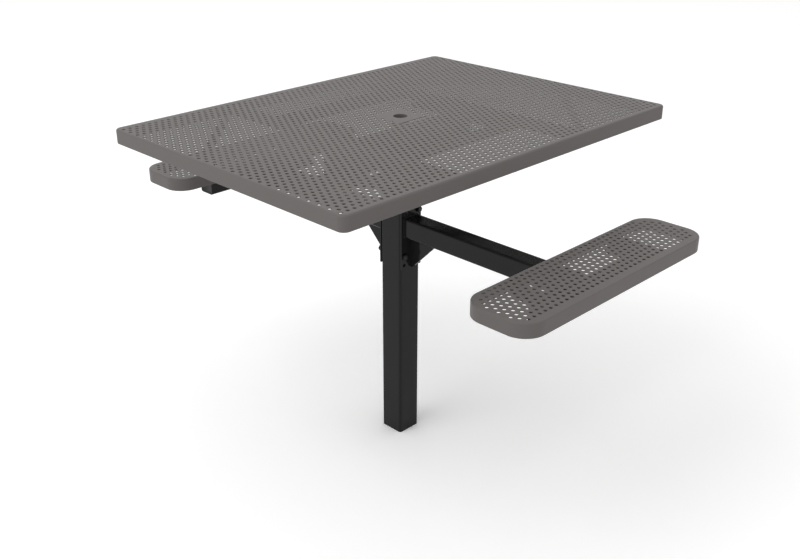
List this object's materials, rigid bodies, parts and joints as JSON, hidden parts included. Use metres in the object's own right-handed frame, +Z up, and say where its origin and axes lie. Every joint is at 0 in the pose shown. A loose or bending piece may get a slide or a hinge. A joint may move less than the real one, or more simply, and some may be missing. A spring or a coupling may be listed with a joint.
{
  "type": "pedestal picnic table",
  "caption": "Single-post picnic table with a perforated metal top with an umbrella hole, and a perforated bench seat on a side arm at each side.",
  "frame": {"origin": "centre of the post's lower end", "axes": "+X towards the right-hand seat, +Y along the seats and away from the viewer, +Z up the post"},
  "size_m": [1.9574, 1.6002, 1.2864],
  "materials": {
    "coat_grey": "thick satin thermoplastic coating",
    "frame_black": "glossy black powder coating",
    "cap_black": "moulded",
    "bolt_black": "black coated"
  },
  "bodies": {
    "root": {"post": "frame_black", "head_beam": "frame_black", "head_beam_caps": "cap_black", "post_welds": "frame_black", "umbrella_sleeve": "coat_grey", "umbrella_plate": "coat_grey", "table_panel": "coat_grey", "table_rim": "coat_grey", "top_bar_near": "frame_black", "top_bar_far": "frame_black", "top_bar_right": "frame_black", "top_bar_left": "frame_black", "top_brace_near_right": "frame_black", "top_brace_near_left": "frame_black", "top_brace_far_right": "frame_black", "top_brace_far_left": "frame_black", "top_plate_near": "frame_black", "top_plate_far": "frame_black", "beam_plate_near": "frame_black", "beam_plate_far": "frame_black", "flange_plate_right": "frame_black", "flange_plate_left": "frame_black", "seat_arm_right": "frame_black", "seat_arm_left": "frame_black", "arm_gusset_right": "frame_black", "arm_gusset_left": "frame_black", "arm_welds_right": "frame_black", "arm_welds_left": "frame_black", "cross_tube_right": "frame_black", "cross_tube_left": "frame_black", "cross_tube_caps": "cap_black", "tube_plates_right": "frame_black", "tube_plates_left": "frame_black", "seat_plates_right": "frame_black", "seat_plates_left": "frame_black", "seat_bars_right": "frame_black", "seat_bars_left": "frame_black", "seat_panel_right": "coat_grey", "seat_panel_left": "coat_grey", "seat_rim_right": "coat_grey", "seat_rim_left": "coat_grey", "arm_bolts": "bolt_black", "arm_washers": "bolt_black", "arm_nuts": "bolt_black", "top_bolts": "bolt_black", "top_nuts": "bolt_black", "seat_bolts": "bolt_black", "seat_nuts": "bolt_black"}
  },
  "joints": []
}
